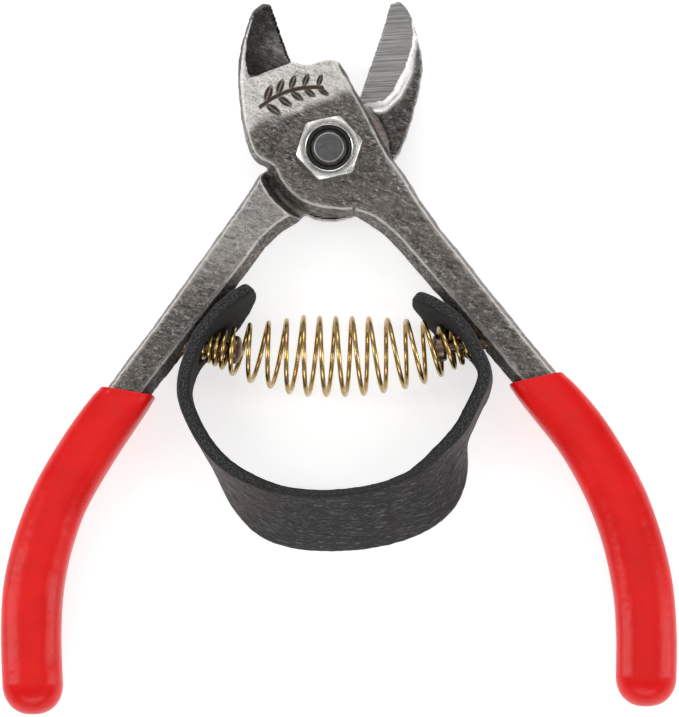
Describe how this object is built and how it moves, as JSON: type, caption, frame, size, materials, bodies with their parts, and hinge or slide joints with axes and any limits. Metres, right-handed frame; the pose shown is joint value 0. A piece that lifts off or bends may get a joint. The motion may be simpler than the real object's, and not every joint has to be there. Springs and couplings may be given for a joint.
{
  "type": "floral snips",
  "caption": "Forged steel floral snips that turn on a bolt with a hex lock nut, opened by a barrel coil spring, with red vinyl grips and a black leather hand strap.",
  "frame": {"origin": "on the pivot axis, at the flat underside of the bolt head", "axes": "+Z along the pivot axis from the bolt head to the nut, +Y from the grips to the jaw tips, +X towards the right jaw and grip; the tool lies flat with its jaws fully open"},
  "size_m": [0.1483, 0.1571, 0.022],
  "materials": {
    "forged_steel": "drop forged and blasted, with a bright rubbed plate and ground shear faces",
    "black_steel": "blackened, satin",
    "zinc_plate": "bright zinc plate",
    "nylon": "moulded, matte",
    "yellow_zinc": "yellow passivated zinc with faint rainbow tints",
    "leather": "smooth grain outside, rough cut edges",
    "red_vinyl": "glossy plastisol dip"
  },
  "bodies": {
    "rear": {"rear_lever": "forged_steel", "pivot_bolt": "black_steel", "pivot_nut": "zinc_plate", "nut_lock_ring": "nylon", "left_stud": "black_steel", "left_grip": "red_vinyl", "return_spring": "yellow_zinc", "hand_strap": "leather"},
    "front": {"front_lever": "forged_steel", "right_stud": "black_steel", "right_grip": "red_vinyl"}
  },
  "joints": [
    {"name": "pivot", "type": "hinge", "parent": "rear", "child": "front", "pos_m": [0, 0, 0.01], "axis": [0, 0, -1], "range_deg": [0, 46], "stiffness_Nm_per_rad": 0.9, "springref_deg": -20.05, "deforming": ["return_spring", "hand_strap"]}
  ]
}
